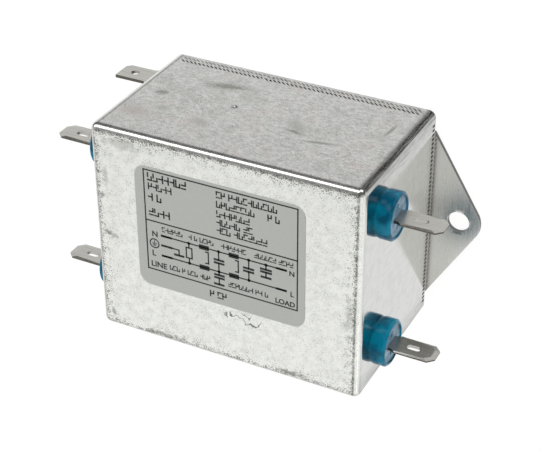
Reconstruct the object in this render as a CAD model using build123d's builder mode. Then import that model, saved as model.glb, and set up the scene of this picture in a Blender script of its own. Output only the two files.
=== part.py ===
# Chassis-mount mains filter in a tinned steel can: 6.3 mm push-on tabs on both ends, two mounting ears.
# X runs from the LINE end to the LOAD end, Y across the can, Z away from the mounting surface.
# The origin is on the mounting surface, midway between the two mounting holes. Millimetres.
import os
from math import acos, atan2, cos, hypot, radians, sin

from build123d import *

os.makedirs("parts", exist_ok=True)

# Can, drawn from tinned steel sheet, open towards the mounting plate
case_length = 69.1
case_width = 56.2
case_height = 40.5
case_sheet = 0.6
case_edge_radius = 1.8

# Crimp seam: a row of small pressed pockets round the rim that grips the lid's flange
crimp_pitch = 1.15
crimp_width = 0.72
crimp_height = 1.8
crimp_depth = 0.25
crimp_from_rim = 0.8
crimp_corner_gap = 2.4

# Small round punch mark on one long side of the can
mark_diameter = 1.3
mark_depth = 0.2
mark_taper = 30.0
mark_x = -8.3
mark_above_rim = 18.2

# Mounting plate: flat sheet under the can with a pointed ear and a hole at each end
plate_sheet = 1.0
plate_inset = 5.5
hole_from_case = 7.35
hole_diameter = 5.3
ear_tip_radius = 5.5

# Lid: shallow tray inside the rim
lid_sheet = 0.6
lid_flange = 4.2
lid_clearance = 0.1

# Label
label_length = 43.6
label_width = 32.6
label_sheet = 0.12
label_corner_radius = 3.0
label_shift_x = -1.0
label_shift_y = 4.2

# Terminals: places shared by bushes, tabs and holes, from the can's long sides and its closed face
terminal_from_side = 10.85
terminal_below_top = 10.6

# Bush: moulded flange outside, neck through the wall, snap collar inside
bush_radius = 5.75
bush_reach = 3.9
bush_rim_chamfer = 0.55
bush_foot_step = 0.25
bush_foot_length = 0.9
bush_lip = 0.7
bush_recess_depth = 0.7
bush_neck_radius = 4.2
bush_hole_clearance = 0.1
bush_collar_step = 0.6
bush_collar_length = 1.2

# Push-on tab
tab_width = 6.3
tab_sheet = 0.8
tab_reach = 14.8
tab_tip_corner = 1.5
tab_coin_width = 0.6
tab_coin_depth = 0.2
tab_neck_width = 5.0
tab_neck_clear = 0.5
tab_shoulder_length = 0.8
tab_slot_length = 3.4
tab_slot_width = 1.7
tab_slot_from_tip = 5.8
tab_tail = 8.0
tab_tail_hole = 1.8
tab_tail_hole_from_end = 1.6

# Earth tab, bent up from a foot that is welded to the LINE end
earth_from_side = 5.2
earth_above_rim = 5.7
earth_reach = 12.75
earth_blade_length = 8.8
earth_tip_corner = 1.1
earth_shoulder_step = 1.15
earth_shoulder_fillet = 1.1
earth_hole_diameter = 2.2
earth_hole_from_tip = 3.85
earth_foot_length = 9.0
earth_bend_radius = 0.4
weld_diameter = 1.6
weld_depth = 0.2
weld_spacing = 3.6

# Inner tub, which ends below the tabs
tub_sheet = 0.8
tub_below_tabs = 4.8
tub_clearance = 0.1
tub_corner_radius = 1.5

# Chokes: ring cores lying flat, each with two windings, as large as the tub leaves room for
choke_end_gap = 2.225
choke_wall_gap = 0.6
choke_cap_gap = 0.9
core_section = 5.0
core_height = 10.0
winding_sheet = 1.2
winding_clearance = 0.1
winding_sweep = 140.0

# Capacitors and resistor
x_cap_end_gap = 3.0
x_cap_width = 9.0
x_cap_height = 17.0
cap_gap = 1.5
y_cap_length = 13.0
y_cap_width = 5.0
y_cap_height = 11.0
y_cap_wall_gap = 2.1
y_cap_wire_gap = 4.0
cap_edge_chamfer = 0.6
resistor_length = 9.0
resistor_radius = 1.7
resistor_wire_radius = 0.35
resistor_wire_length = 3.0

# Wires and the earth strip
lead_radius = 0.9
bus_radius = 0.5
strip_sheet = 0.4
strip_width = 3.0
strip_foot = 1.6
strip_over_tub = 0.6
strip_rise = 2.5
wire_clearance = 0.05

# Places worked out from the sizes above
half_length = case_length / 2
half_width = case_width / 2
rim = plate_sheet
case_top = rim + case_height
plate_width = case_width - 2 * plate_inset
hole_spacing = case_length + 2 * hole_from_case
terminal_offset = half_width - terminal_from_side
terminal_height = case_top - terminal_below_top
earth_offset = half_width - earth_from_side
inner_half_length = half_length - case_sheet
inner_half_width = half_width - case_sheet
lid_top = rim + lid_sheet
tub_half_length = inner_half_length - lid_clearance - lid_sheet - tub_clearance
tub_half_width = inner_half_width - lid_clearance - lid_sheet - tub_clearance
tub_floor = lid_top + tub_sheet
tub_top = terminal_height - tab_neck_width / 2 - tub_below_tabs
bay_length = tub_half_length - tub_sheet
bay_half_width = tub_half_width - tub_sheet
ends = {"line": -1, "load": 1}
rows = {"neutral": 1, "phase": -1}


def save(builder, name):
    builder.part.label = name
    export_step(builder.part, f"parts/{name}.step")


def terminal_point(end, row):
    return Vector(end * half_length, row * terminal_offset, terminal_height)


# Upright plane through the can end: local x points out of the can, local y points up
def blade_plane(end, origin):
    return Plane(origin=origin, x_dir=(end, 0, 0), z_dir=(0, -end, 0))


# Plane on an outer wall of the can: local x runs along the wall, local y points up
def wall_plane(normal, origin):
    return Plane(origin=origin, x_dir=(-normal[1], normal[0], 0), z_dir=(normal[0], normal[1], 0))


# Can: block hollowed from the rim side, then bush holes, seam pockets and punch mark
crimp_mid = rim + crimp_from_rim + crimp_height / 2
side_pockets = int((case_length - 2 * crimp_corner_gap) / crimp_pitch)
end_pockets = int((case_width - 2 * crimp_corner_gap) / crimp_pitch)
with BuildPart() as case:
    with BuildSketch(Plane.XY.offset(rim)):
        RectangleRounded(case_length, case_width, case_edge_radius)
    extrude(amount=case_height)
    fillet(case.faces().sort_by(Axis.Z)[-1].edges(), case_edge_radius)
    offset(amount=-case_sheet, openings=case.faces().sort_by(Axis.Z)[0])
    for end in ends.values():
        for row in rows.values():
            with BuildSketch(wall_plane((end, 0), terminal_point(end, row))):
                Circle(bush_neck_radius + bush_hole_clearance)
            extrude(amount=-2 * case_sheet, mode=Mode.SUBTRACT)
    for side in (-1, 1):
        with BuildSketch(wall_plane((0, side), (0, side * half_width, crimp_mid))):
            with GridLocations(crimp_pitch, crimp_height, side_pockets, 1):
                Rectangle(crimp_width, crimp_height)
        with BuildSketch(wall_plane((side, 0), (side * half_length, 0, crimp_mid))):
            with GridLocations(crimp_pitch, crimp_height, end_pockets, 1):
                Rectangle(crimp_width, crimp_height)
        extrude(amount=-crimp_depth, mode=Mode.SUBTRACT)
    with BuildSketch(wall_plane((0, 1), (mark_x, half_width, rim + mark_above_rim))):
        Circle(mark_diameter / 2)
    extrude(amount=-mark_depth, taper=mark_taper, mode=Mode.SUBTRACT)
save(case, "case")

# Mounting plate: straight sides under the can, each ear tapering to a round tip about its hole
ear_reach = hole_spacing / 2 - half_length
ear_diagonal = hypot(ear_reach, plate_width / 2)
ear_tangent = atan2(plate_width / 2, -ear_reach) - acos(ear_tip_radius / ear_diagonal)
ear_side_x = hole_spacing / 2 + ear_tip_radius * cos(ear_tangent)
ear_side_y = ear_tip_radius * sin(ear_tangent)
with BuildPart() as mounting_plate:
    with BuildSketch():
        with BuildLine():
            Polyline((0, plate_width / 2), (half_length, plate_width / 2), (ear_side_x, ear_side_y))
            ThreePointArc(
                (ear_side_x, ear_side_y),
                (hole_spacing / 2 + ear_tip_radius, 0),
                (ear_side_x, -ear_side_y),
            )
            Polyline((ear_side_x, -ear_side_y), (half_length, -plate_width / 2), (0, -plate_width / 2))
            Line((0, -plate_width / 2), (0, plate_width / 2))
        make_face()
        mirror(about=Plane.YZ)
        with GridLocations(hole_spacing, 1, 2, 1):
            Circle(hole_diameter / 2, mode=Mode.SUBTRACT)
    extrude(amount=plate_sheet)
save(mounting_plate, "mounting_plate")

# Lid: tray on the plate, its flange standing inside the can's wall
lid_corner_radius = case_edge_radius - case_sheet
with BuildPart() as bottom_lid:
    with BuildSketch(Plane.XY.offset(rim)):
        RectangleRounded(
            2 * (inner_half_length - lid_clearance), 2 * (inner_half_width - lid_clearance), lid_corner_radius
        )
    extrude(amount=lid_flange)
    offset(amount=-lid_sheet, openings=bottom_lid.faces().sort_by(Axis.Z)[-1])
save(bottom_lid, "bottom_lid")

# Label stuck to the outer face
with BuildPart() as rating_label:
    with BuildSketch(Plane.XY.offset(case_top)):
        with Locations((label_shift_x, label_shift_y)):
            RectangleRounded(label_length, label_width, label_corner_radius)
    extrude(amount=label_sheet)
save(rating_label, "rating_label")

# Bushes: turned profile of radius against distance out of the wall, with a slot for the tab's neck
collar_end = -case_sheet - bush_collar_length
face_radius = bush_radius - bush_rim_chamfer
bush_profile = [
    (0, collar_end),
    (bush_neck_radius + bush_collar_step, collar_end),
    (bush_neck_radius + bush_collar_step, -case_sheet),
    (bush_neck_radius, -case_sheet),
    (bush_neck_radius, 0),
    (bush_radius - bush_foot_step, 0),
    (bush_radius, bush_foot_length),
    (bush_radius, bush_reach - bush_rim_chamfer),
    (face_radius, bush_reach),
    (face_radius - bush_lip, bush_reach),
    (face_radius - bush_lip, bush_reach - bush_recess_depth),
    (0, bush_reach - bush_recess_depth),
]
for end_name, end in ends.items():
    for row_name, row in rows.items():
        root = terminal_point(end, row)
        with BuildPart() as bush:
            with BuildSketch(Plane(origin=root, x_dir=(0, 1, 0), z_dir=(0, 0, -end))):
                with BuildLine():
                    Polyline(*bush_profile, close=True)
                make_face()
            revolve(axis=Axis(root, (end, 0, 0)))
            with BuildSketch(wall_plane((end, 0), root + Vector(end * collar_end, 0, 0))):
                Rectangle(tab_sheet, tab_neck_width)
            extrude(amount=bush_reach - collar_end, mode=Mode.SUBTRACT)
        save(bush, f"{end_name}_{row_name}_bush")

# Tabs: blade with coined edges, a narrower neck through the bush and a solder eye inside
neck_end = bush_reach + tab_neck_clear
blade_start = neck_end + tab_shoulder_length
tab_half_outline = [
    (-tab_tail, 0),
    (-tab_tail, tab_neck_width / 2),
    (neck_end, tab_neck_width / 2),
    (blade_start, tab_width / 2),
    (tab_reach - tab_tip_corner, tab_width / 2),
    (tab_reach, tab_width / 2 - tab_tip_corner),
    (tab_reach, 0),
]
for end_name, end in ends.items():
    for row_name, row in rows.items():
        root = terminal_point(end, row)
        with BuildPart() as tab:
            with BuildSketch(blade_plane(end, root)):
                with BuildLine():
                    Polyline(*tab_half_outline, close=True)
                make_face()
                mirror(about=Plane.XZ)
                with Locations((tab_reach - tab_slot_from_tip, 0)):
                    SlotOverall(tab_slot_length, tab_slot_width, mode=Mode.SUBTRACT)
                with Locations((tab_tail_hole_from_end - tab_tail, 0)):
                    Circle(tab_tail_hole / 2, mode=Mode.SUBTRACT)
            extrude(amount=tab_sheet / 2, both=True)
            for side in (0, -1):
                flat = tab.faces().filter_by(Axis.Y).sort_by(Axis.Y)[side]
                blade_edges = flat.outer_wire().edges().filter_by(
                    lambda edge: abs(edge.center().X) > half_length + blade_start
                )
                chamfer(blade_edges, tab_coin_width, tab_coin_depth, reference=flat)
        save(tab, f"{end_name}_{row_name}_tab")

# Earth tab: blade and welded foot of one bent strip
earth_root = Vector(-half_length, earth_offset, rim + earth_above_rim)
shoulder_end = earth_reach - earth_blade_length
shoulder_width = tab_width + 2 * earth_shoulder_step
earth_top = earth_offset + tab_sheet / 2
outer_bend = Vector(-half_length, earth_top, earth_root.Z)
inner_bend = outer_bend - Vector(tab_sheet, tab_sheet, 0)
with BuildPart() as earth_tab:
    with BuildSketch(blade_plane(-1, earth_root)) as blade:
        with BuildLine():
            Polyline(
                (0, 0),
                (0, shoulder_width / 2),
                (shoulder_end, shoulder_width / 2),
                (shoulder_end, tab_width / 2),
                (earth_reach, tab_width / 2),
                (earth_reach, 0),
                close=True,
            )
        make_face()
        mirror(about=Plane.XZ)
        shoulder_corners = blade.vertices().group_by(Axis.X)[1].sort_by(Axis.Y)
        fillet(shoulder_corners[1:3], min(earth_shoulder_fillet, earth_shoulder_step))
        chamfer(blade.vertices().group_by(Axis.X)[-1].sort_by(Axis.Y)[0], earth_tip_corner)
        with Locations((earth_reach - earth_hole_from_tip, 0)):
            Circle(earth_hole_diameter / 2, mode=Mode.SUBTRACT)
    extrude(amount=tab_sheet / 2, both=True)
    foot_mid = outer_bend - Vector(0, earth_foot_length / 2, 0)
    with BuildSketch(wall_plane((-1, 0), foot_mid)):
        Rectangle(earth_foot_length, shoulder_width)
    extrude(amount=tab_sheet)
    for corner, radius in ((outer_bend, earth_bend_radius + tab_sheet), (inner_bend, earth_bend_radius)):
        fillet(earth_tab.edges().filter_by(Axis.Z).sort_by_distance(corner)[0], radius)
    with BuildSketch(wall_plane((-1, 0), foot_mid - Vector(tab_sheet, 0, 0))):
        with Locations((earth_bend_radius, 0)):
            with GridLocations(1, weld_spacing, 1, 2):
                Circle(weld_diameter / 2)
    extrude(amount=-weld_depth, mode=Mode.SUBTRACT)
save(earth_tab, "earth_tab")

# Tub: moulded insulating tray that holds the components, standing on the lid
with BuildPart() as inner_tub:
    with BuildSketch(Plane.XY.offset(lid_top)):
        RectangleRounded(2 * tub_half_length, 2 * tub_half_width, tub_corner_radius)
    extrude(amount=tub_top - lid_top)
    offset(amount=-tub_sheet, openings=inner_tub.faces().sort_by(Axis.Z)[-1])
save(inner_tub, "inner_tub")

# Chokes: a ring core carried inside two half windings that stand on the tub's floor
caps_room = y_cap_wall_gap + y_cap_width + cap_gap + x_cap_width
choke_radius = min(
    bay_length / 2 - choke_end_gap, bay_half_width - (caps_room + choke_cap_gap + choke_wall_gap) / 2
)
choke_offset = choke_wall_gap + choke_radius - bay_half_width
core_outer_radius = choke_radius - winding_sheet - winding_clearance
core_mean_radius = core_outer_radius - core_section / 2
core_floor = tub_floor + winding_sheet + winding_clearance
core_mid = core_floor + core_height / 2
winding_top = core_floor + core_height + winding_clearance + winding_sheet
section_room = core_section + 2 * winding_clearance
height_room = core_height + 2 * winding_clearance
for end_name, end in ends.items():
    choke_axis = Axis((end * bay_length / 2, choke_offset, 0), (0, 0, 1))
    with BuildPart() as core:
        with BuildSketch(Plane(origin=choke_axis.position + Vector(0, 0, core_floor))):
            Circle(core_outer_radius)
            Circle(core_outer_radius - core_section, mode=Mode.SUBTRACT)
        extrude(amount=core_height)
    save(core, f"{end_name}_choke_core")
    for row_name, row in rows.items():
        start = radians(row * 90 - winding_sweep / 2)
        spoke = (cos(start), sin(start), 0)
        with BuildPart() as winding:
            with BuildSketch(Plane(choke_axis.position, x_dir=spoke, z_dir=(spoke[1], -spoke[0], 0))):
                with Locations((core_mean_radius, core_mid)):
                    Rectangle(section_room + 2 * winding_sheet, height_room + 2 * winding_sheet)
                    Rectangle(section_room, height_room, mode=Mode.SUBTRACT)
            revolve(axis=choke_axis, revolution_arc=winding_sweep)
        save(winding, f"{end_name}_choke_{row_name}_winding")


# Box capacitor standing on the tub's floor
def box_capacitor(name, x, y, length, width, height):
    with BuildPart() as capacitor:
        with BuildSketch(Plane((x, y, tub_floor))):
            Rectangle(length, width)
        extrude(amount=height)
        chamfer(capacitor.edges().filter_by(Axis.Z), cap_edge_chamfer)
        chamfer(capacitor.faces().sort_by(Axis.Z)[-1].edges(), cap_edge_chamfer)
    save(capacitor, name)


# Y capacitors in a row beside the tub's wall with the resistor between them, X capacitors in the next row
x_cap_length = bay_length - 2 * x_cap_end_gap
x_cap_offset = bay_half_width - caps_room + x_cap_width / 2
x_cap_top = tub_floor + x_cap_height
y_cap_offset = bay_half_width - y_cap_wall_gap - y_cap_width / 2
y_cap_top = tub_floor + y_cap_height
resistor_half = resistor_length / 2
resistor_reach = resistor_half + resistor_wire_length
y_cap_x = resistor_reach + y_cap_wire_gap + y_cap_length / 2
for end_name, end in ends.items():
    box_capacitor(
        f"{end_name}_x_capacitor", end * bay_length / 2, x_cap_offset, x_cap_length, x_cap_width, x_cap_height
    )
    box_capacitor(
        f"{end_name}_y_capacitor", end * y_cap_x, y_cap_offset, y_cap_length, y_cap_width, y_cap_height
    )

# Discharge resistor lying on the tub's floor: round body with a wire at each end
resistor_root = Vector(0, y_cap_offset, tub_floor + resistor_radius + wire_clearance)
with BuildPart() as discharge_resistor:
    with BuildSketch(Plane(origin=resistor_root, x_dir=(1, 0, 0), z_dir=(0, -1, 0))):
        with BuildLine():
            Polyline(
                (0, 0),
                (0, resistor_radius),
                (resistor_half, resistor_radius),
                (resistor_half, resistor_wire_radius),
                (resistor_reach, resistor_wire_radius),
                (resistor_reach, 0),
                close=True,
            )
        make_face()
        mirror(about=Plane.YZ)
    revolve(axis=Axis(resistor_root, (1, 0, 0)))
save(discharge_resistor, "discharge_resistor")

# Insulated leads: from the solder eye of each tab straight down to the component below it
lead_beds = {"neutral": x_cap_top, "phase": winding_top}
for end_name, end in ends.items():
    for row_name, row in rows.items():
        lead_foot = (
            end * (half_length - tab_tail + tab_tail_hole_from_end),
            row * (terminal_offset - tab_sheet / 2 - wire_clearance - lead_radius),
            lead_beds[row_name] + wire_clearance,
        )
        with BuildPart() as lead:
            with BuildSketch(Plane(lead_foot)):
                Circle(lead_radius)
            extrude(amount=terminal_height + lead_radius - lead_foot[2])
        save(lead, f"{end_name}_{row_name}_lead")

# Bare bus wires: straight runs across the tops of the components of both stages
bus_places = {
    "neutral": (x_cap_offset - x_cap_width / 4, x_cap_top),
    "phase": (choke_offset - core_mean_radius, winding_top),
}
for row_name, (bus_y, bus_bed) in bus_places.items():
    with BuildPart() as bus:
        bus_start = (-bay_length / 2, bus_y, bus_bed + wire_clearance + bus_radius)
        with BuildSketch(Plane(origin=bus_start, z_dir=(1, 0, 0))):
            Circle(bus_radius)
        extrude(amount=bay_length)
    save(bus, f"{row_name}_bus")

# Earth lead: folded strip off the top of the LINE end's Y capacitor, over the tub's wall and up the can
strip_bed = y_cap_top + wire_clearance
strip_crest = tub_top + strip_over_tub
strip_riser = bay_half_width - wire_clearance
strip_wall = inner_half_width - wire_clearance
with BuildPart() as earth_lead:
    with BuildSketch(Plane(origin=(-y_cap_x, 0, 0), x_dir=(0, 1, 0), z_dir=(1, 0, 0))):
        with BuildLine():
            Polyline(
                (y_cap_offset - strip_foot, strip_bed),
                (strip_riser, strip_bed),
                (strip_riser, strip_crest),
                (strip_wall, strip_crest),
                (strip_wall, strip_crest + strip_rise),
                (strip_wall - strip_sheet, strip_crest + strip_rise),
                (strip_wall - strip_sheet, strip_crest + strip_sheet),
                (strip_riser - strip_sheet, strip_crest + strip_sheet),
                (strip_riser - strip_sheet, strip_bed + strip_sheet),
                (y_cap_offset - strip_foot, strip_bed + strip_sheet),
                close=True,
            )
        make_face()
    extrude(amount=strip_width / 2, both=True)
save(earth_lead, "earth_lead")
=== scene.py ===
import math
import random
from functools import partial

import bmesh
import bpy
from bmesh.types import BMEdge, BMFace, BMVert
from mathutils import Matrix, Vector


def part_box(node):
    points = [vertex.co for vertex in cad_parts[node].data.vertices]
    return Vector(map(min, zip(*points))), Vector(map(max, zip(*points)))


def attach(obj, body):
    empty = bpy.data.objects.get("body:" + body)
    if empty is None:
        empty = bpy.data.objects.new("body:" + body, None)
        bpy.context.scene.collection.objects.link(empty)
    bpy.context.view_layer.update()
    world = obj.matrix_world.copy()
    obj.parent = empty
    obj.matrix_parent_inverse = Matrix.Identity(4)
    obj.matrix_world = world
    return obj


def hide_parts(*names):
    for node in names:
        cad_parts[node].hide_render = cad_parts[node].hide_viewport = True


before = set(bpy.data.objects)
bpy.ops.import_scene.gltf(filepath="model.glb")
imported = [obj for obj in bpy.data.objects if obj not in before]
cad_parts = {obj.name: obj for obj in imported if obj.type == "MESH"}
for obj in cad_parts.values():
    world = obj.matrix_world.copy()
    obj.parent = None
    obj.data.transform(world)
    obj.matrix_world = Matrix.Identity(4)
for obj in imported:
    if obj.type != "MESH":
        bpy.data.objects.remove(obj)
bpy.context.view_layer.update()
mm = 0.001  # the scene is in metres, sizes below are in millimetres
tiny = 1e-3 * mm  # places closer than this count as one
weld = 1e-4 * mm  # verts closer than this are merged
bumpHeight = 0.02 * mm
print("frame loaded with", len(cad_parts), "nodes")


# small tools

def linear(code):
    channels = [int(code[i:i + 2], 16) / 255 for i in (1, 3, 5)]
    return [c / 12.92 if c <= 0.04045 else ((c + 0.055) / 1.055) ** 2.4 for c in channels] + [1.0]


# fills a node's inputs by place or name, a hex value is a colour
def fillInputs(tree, node, inputs):
    for name, value in inputs.items() if isinstance(inputs, dict) else enumerate(inputs):
        if isinstance(value, bpy.types.NodeSocket):
            tree.links.new(value, node.inputs[name])
        else:
            node.inputs[name].default_value = linear(value) if isinstance(value, str) else value


# adds a node and returns one of its outputs, or all of them
def addNode(tree, kind, inputs=(), out=0, **settings):
    node = tree.nodes.new("ShaderNode" + kind)
    for name, value in settings.items():
        setattr(node, name, value)
    fillInputs(tree, node, inputs)
    return node.outputs if out is None else node.outputs[out]


def startMaterial(name):
    material = bpy.data.materials.new(name)
    material.use_nodes = True
    tree = material.node_tree
    return material, tree, tree.nodes["Principled BSDF"], addNode(tree, "TexCoord", out="Object")


def addObject(name, data):
    added = bpy.data.objects.new(name, data)
    bpy.context.scene.collection.objects.link(added)
    return added


def finishPiece(bm, name, materials, replaced=(), smoothAngle=35):
    bmesh.ops.remove_doubles(bm, verts=bm.verts, dist=weld)
    bmesh.ops.recalc_face_normals(bm, faces=bm.faces)
    mesh = bpy.data.meshes.new(name)
    bm.to_mesh(mesh)
    bm.free()
    mesh.shade_smooth()
    mesh.set_sharp_from_angle(angle=math.radians(smoothAngle))
    for material in materials:
        mesh.materials.append(material)
    piece = addObject(name, mesh)
    weighted = piece.modifiers.new("flat faces stay flat", "WEIGHTED_NORMAL")
    weighted.keep_sharp = True
    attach(piece, "root")
    if replaced:
        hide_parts(*replaced)


# the verts, edges or faces in a mixed result
def pick(kind, geom):
    return [g for g in geom if isinstance(g, kind)]


# each once and in a fixed order, which a set doesn't keep
def unique(items):
    return list(dict.fromkeys(items))


def addBox(bm, low, high):
    size = Vector(high) - Vector(low)
    middle = (Vector(high) + Vector(low)) / 2
    place = Matrix.Translation(middle) @ Matrix.Diagonal((*size, 1))
    bmesh.ops.create_cube(bm, size=1, matrix=place)


def facesOn(bm, normal, level):
    return [
        f for f in bm.faces
        if f.normal.dot(normal) > 0.999 and abs(f.calc_center_median().dot(normal) - level) < tiny
    ]


def cutFaces(bm, faces, point, direction):
    edges = unique(e for f in faces for e in f.edges)
    verts = unique(v for f in faces for v in f.verts)
    cut = bmesh.ops.bisect_plane(
        bm, geom=[*faces, *edges, *verts], dist=0.1 * weld, plane_co=point, plane_no=direction
    )["geom"]
    return pick(BMFace, cut)


def faceAt(bm, normal, spot):
    return next(f for f in facesOn(bm, normal, spot.dot(normal)) if bmesh.geometry.intersect_face_point(f, spot))


# joins two loops in one plane, with the inner one lifted meanwhile, because a flat bridge can turn inside out
def bridgeFlat(bm, outer, inner, verts, normal):
    lift = 0.5 * mm * normal
    bmesh.ops.translate(bm, vec=lift, verts=verts)
    bmesh.ops.bridge_loops(bm, edges=outer + inner)
    bmesh.ops.translate(bm, vec=-lift, verts=verts)


# opens a round or oblong hole in a flat face and returns its edges
def openHole(bm, normal, centre, cell, radius, along, stretch=0.0, cuts=7):
    normal, along = Vector(normal), Vector(along)
    across = normal.cross(along)
    for direction, half in ((along, cell[0]), (across, cell[1])):
        for side in (-1, 1):
            cutFaces(bm, [faceAt(bm, normal, centre)], centre + side * half * direction, direction)
    hole = faceAt(bm, normal, centre)
    rim = list(hole.edges)
    bmesh.ops.delete(bm, geom=[hole], context="FACES_ONLY")
    split = pick(BMVert, bmesh.ops.subdivide_edges(bm, edges=rim, cuts=cuts)["geom_inner"])
    outer = unique(e for v in split for e in v.link_edges if e.is_boundary)
    turn = Matrix((along, across, normal)).transposed().to_4x4()
    ring = bmesh.ops.create_circle(
        bm, segments=4 * (cuts + 1), radius=radius, matrix=Matrix.Translation(centre) @ turn
    )["verts"]
    for v in ring:
        reach = (v.co - centre).dot(along)
        if abs(reach) > tiny:
            v.co += math.copysign(stretch, reach) * along
    inner = unique(e for v in ring for e in v.link_edges)
    bridgeFlat(bm, outer, inner, ring, normal)
    return inner


# the same hole in both faces of a sheet, joined by its wall
def drillHole(bm, normal, centre, sheet, *shape, **more):
    out = Vector(normal)
    near = openHole(bm, out, centre, *shape, **more)
    far = openHole(bm, -out, centre - sheet * out, *shape, **more)
    bmesh.ops.bridge_loops(bm, edges=near + far)


# an edge's extent along one axis
def span(edge, axis):
    return abs(edge.verts[0].co[axis] - edge.verts[1].co[axis])


def sharpEdges(bm, angle):
    return [e for e in bm.edges if e.is_manifold and e.calc_face_angle() > math.radians(angle)]


def softenEdges(bm, edges, width, segments=2):
    bmesh.ops.bevel(
        bm, geom=edges, offset=width, offset_type="OFFSET", segments=segments, profile=0.5,
        affect="EDGES", material=-1, clamp_overlap=True,
    )


# materials

softStep = {"interpolation_type": "SMOOTHSTEP"}
colourMix = {"data_type": "RGBA", "out": 2}


# a worn spot: an oval patch of another colour, broken up by a noise
wornSpot = {"depth": 20.0, "ragged": 0.6, "core": 0.2}


def addMark(add, colour, place, face, noise, mark):
    x, y, along, across, angle, tint, strength = mark
    turn = math.radians(angle)
    upright = face == "side"
    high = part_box("case")[1]
    depth, ragged = wornSpot["depth"] * mm, wornSpot["ragged"]
    spot = add("Mapping", {
        "Vector": place, "Location": (x * mm, high.y, y * mm) if upright else (x * mm, y * mm, high.z),
        "Rotation": (0, -turn, 0) if upright else (0, 0, turn),
        "Scale": (along * mm, depth, across * mm) if upright else (along * mm, across * mm, depth),
    }, vector_type="TEXTURE")
    away = add("VectorMath", [spot], "Value", operation="LENGTH")
    edge = add("Math", [away, add("MapRange", [noise, 0.3, 0.7, -ragged, ragged])], operation="ADD")
    share = add("MapRange", [edge, 1.0, wornSpot["core"], 0.0, strength], **softStep)
    return add("Mix", {0: share, 6: colour, 7: tint}, **colourMix)


# noise drawn out into streaks
def addStreaks(add, place, sizes):
    drawnOut = add("Mapping", {"Vector": place, "Scale": [1 / (size * mm) for size in sizes]})
    return add("TexNoise", {"Vector": drawnOut, "Scale": 1.0, "Detail": 4.0, "Roughness": 0.6})


# a thin painted dark reflection line where one face turns into the next, in the hairline scratch's grey
def addPaintedReflectionLine(add, colour, x, level, face, strength):
    off = add("Math", [add("Math", [x, level], operation="SUBTRACT")], operation="ABSOLUTE")
    width, core = tinPlate["reflectionLineWidth"] * mm, tinPlate["reflectionLineCore"] * mm
    share = add("MapRange", [off, width, core, 0.0, strength], **softStep)
    share = add("Math", [share, face], operation="MULTIPLY")
    return add("Mix", {0: share, 6: colour, 7: tinPlate["hair"]}, **colourMix)


# tin-plated steel, drawn into a can: frosted and speckled on the broad face, smeared on the long sides, whose darker
# tone is partly painted shade, almost mirror-bright on the ends, with a streaked painted dark reflection down the
# upright edges and painted shade in the seam's pockets
tinPlate = {
    "bright": "#EAEBE6", "frost": "#E0E1DC", "grit": "#A5A7A0", "speck": "#666762", "sideLight": "#D4D4D2",
    "sideDark": "#B6B6B3", "sideGrit": "#71716C", "warm": "#C3B6B1", "smudge": "#A9A9A5", "end": "#D5D6D3",
    "endStreak": "#8C8E89", "drawn": "#0C0B0B", "hair": "#4E4F4B", "pocketShade": "#262624",
    "frostSize": 2.2, "grainSize": 0.27, "smearSizes": (1.1, 1.1, 0.7), "tintSize": 6.0, "streakSizes": (0.2, 0.2, 7.0),
    "hairSize": 6.0, "edgeRadius": 1.8, "wornBorder": 6.5, "reflectionLineWidth": 0.4, "reflectionLineCore": 0.1,
    "gritShare": 0.6, "speckShare": 0.85, "faceReflectionLine": 0.65, "sideReflectionLine": 0.45, "hairShare": 0.85, "warmShare": 0.35,
    "smudgeShare": 0.4, "sideGritShare": 0.8, "endCloud": 0.14, "endDim": 0.3, "lineEdgeReflection": 0.1, "pocketShadeShare": 0.8,
    "sidePocketShade": 0.45, "roundRoughness": 0.16, "wallRoughness": 0.34, "endRoughness": 0.12, "bump": 0.1,
}
# worn spots: place, half length, half width, angle, colour, strength
sideMarks = [
    (-14.4, 11.4, 7.0, 1.9, -15, "#86867F", 0.9), (-27.1, 20.9, 2.1, 1.8, 0, "#7F7F79", 0.8),
    (-11.7, 29.9, 3.6, 1.9, 20, "#9E9E9A", 0.6), (-28.1, 31.5, 5.0, 3.4, 0, "#AFA5A1", 0.6),
    (8.6, 21.6, 4.2, 2.2, 47, "#8E8E89", 0.5), (9.5, 24.5, 3.6, 0.7, 12, "#7A7A75", 0.7),
    (16.9, 26.5, 5.6, 0.7, -12, "#83837E", 0.8), (28.8, 14.3, 4.6, 0.6, -84, "#7E7E79", 0.7),
    (-8.2, 19.9, 1.1, 1.2, 0, "#686863", 0.9), (-22.9, 27.6, 2.2, 1.7, 0, "#96958F", 0.55),
]
faceMarks = [
    (-16.8, -26.2, 7.0, 0.8, 0, "#8E8F88", 0.75), (17.2, -26.0, 3.6, 1.0, 0, "#85867F", 0.75),
    (-31.2, -23.6, 0.8, 2.6, 15, "#8C8D86", 0.7), (31.5, -6.0, 1.1, 10.0, 0, "#A9AAA3", 0.45),
    (-30.9, -0.7, 2.8, 1.1, -10, "#7C7D77", 0.85), (-32.2, 9.5, 0.9, 2.0, 10, "#84857E", 0.7),
    (-30.6, 14.0, 0.9, 5.0, 0, "#A6A7A0", 0.45), (-26.0, 24.4, 8.0, 2.0, 0, "#A9AAA3", 0.45),
]
hairMark = (5.2, -14.6, 6.0, 1.9)  # place, half length, half width


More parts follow.
